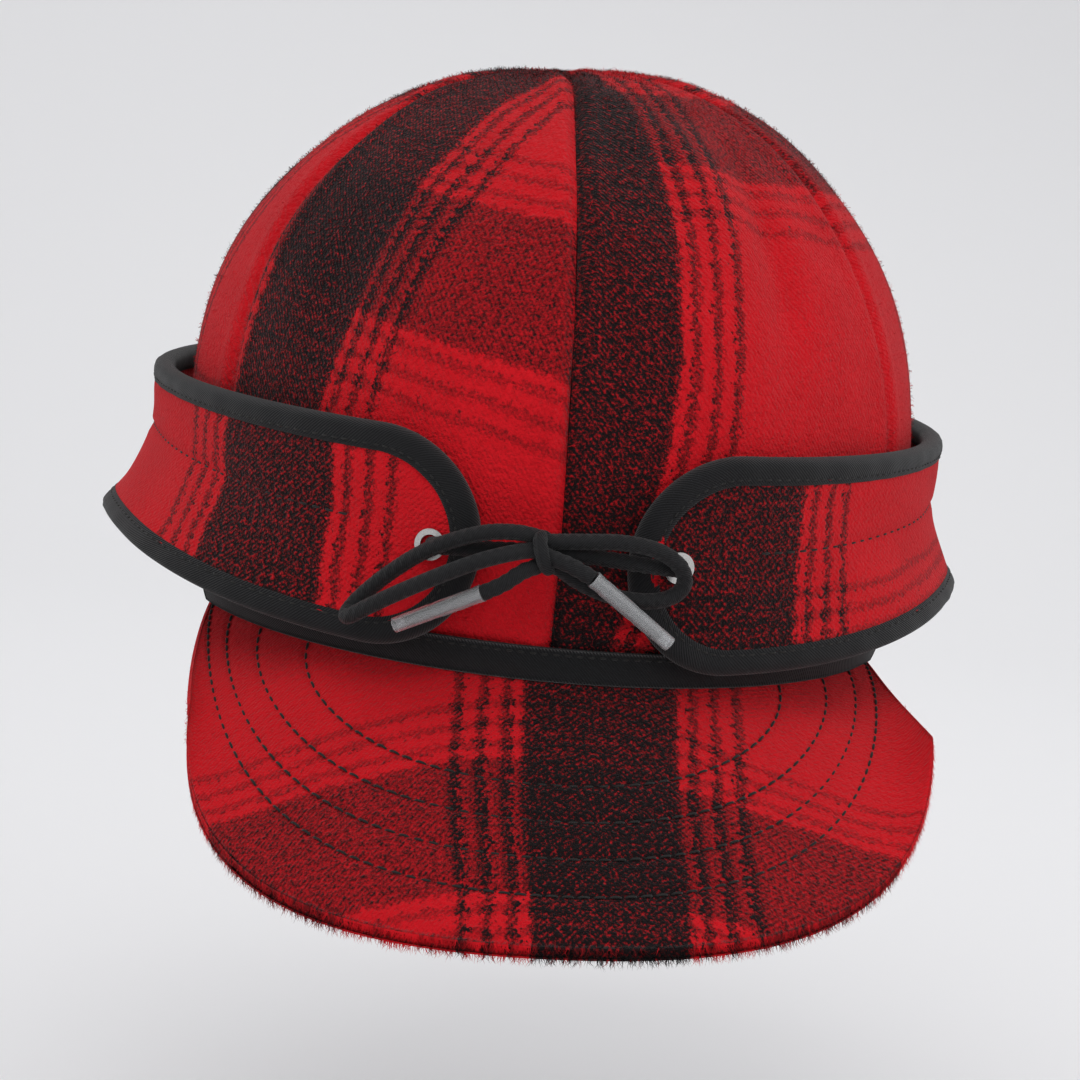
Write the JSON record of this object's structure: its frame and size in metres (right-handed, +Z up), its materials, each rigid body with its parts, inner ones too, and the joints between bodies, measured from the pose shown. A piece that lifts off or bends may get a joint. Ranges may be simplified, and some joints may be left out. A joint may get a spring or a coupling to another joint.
{
  "type": "trapper hat",
  "caption": "Six-panel plaid wool cap with a short curved visor and a taped pull-down ear band tied at the front with a cord bow.",
  "frame": {"origin": "centre of the head opening, in the plane of the crown's lower edge", "axes": "+Z up through the crown, -Y towards the visor, +X to the right seen from the front"},
  "size_m": [0.2146, 0.2771, 0.1847],
  "materials": {
    "wool_plaid": "napped wool in red and black plaid",
    "edge_tape": "black cotton twill tape",
    "lining": "black cotton",
    "sweatband": "black cotton twill",
    "board": "matt",
    "eyelet_metal": "nickel plated",
    "cord": "braided polyester",
    "aglet_plastic": "clear film over the cord"
  },
  "bodies": {
    "cap": {"aglet_left": "aglet_plastic", "aglet_right": "aglet_plastic", "crown_panel_back_left": "wool_plaid", "crown_panel_back_right": "wool_plaid", "crown_panel_front_left": "wool_plaid", "crown_panel_front_right": "wool_plaid", "crown_panel_side_left": "wool_plaid", "crown_panel_side_right": "wool_plaid", "earband_hinge_ply": "lining", "eyelet_left": "eyelet_metal", "eyelet_right": "eyelet_metal", "eyelet_washer_left": "eyelet_metal", "eyelet_washer_right": "eyelet_metal", "lining_gore_back_left": "lining", "lining_gore_back_right": "lining", "lining_gore_front_left": "lining", "lining_gore_front_right": "lining", "lining_gore_side_left": "lining", "lining_gore_side_right": "lining", "sweatband": "sweatband", "tab_edge_tape_left": "edge_tape", "tab_edge_tape_right": "edge_tape", "tab_inner_ply_left": "wool_plaid", "tab_inner_ply_right": "wool_plaid", "tab_outer_ply_left": "wool_plaid", "tab_outer_ply_right": "wool_plaid", "tie_cord_lead_left": "cord", "tie_cord_lead_right": "cord", "tie_cord_loop_left": "cord", "tie_cord_loop_right": "cord", "tie_cord_tail_left": "cord", "tie_cord_tail_right": "cord", "tie_knot": "cord", "visor_board": "board", "visor_root_tape": "edge_tape", "visor_top_cloth": "wool_plaid", "visor_under_cloth": "wool_plaid"},
    "earband": {"earband_inner_ply": "wool_plaid", "earband_lower_tape": "edge_tape", "earband_outer_ply": "wool_plaid", "earband_top_tape": "edge_tape"}
  },
  "joints": [
    {"name": "earband_pull_down", "type": "hinge", "parent": "cap", "child": "earband", "pos_m": [0, -0.0191, 0.015], "axis": [-1, 0, 0], "range_deg": [0, 20]}
  ]
}
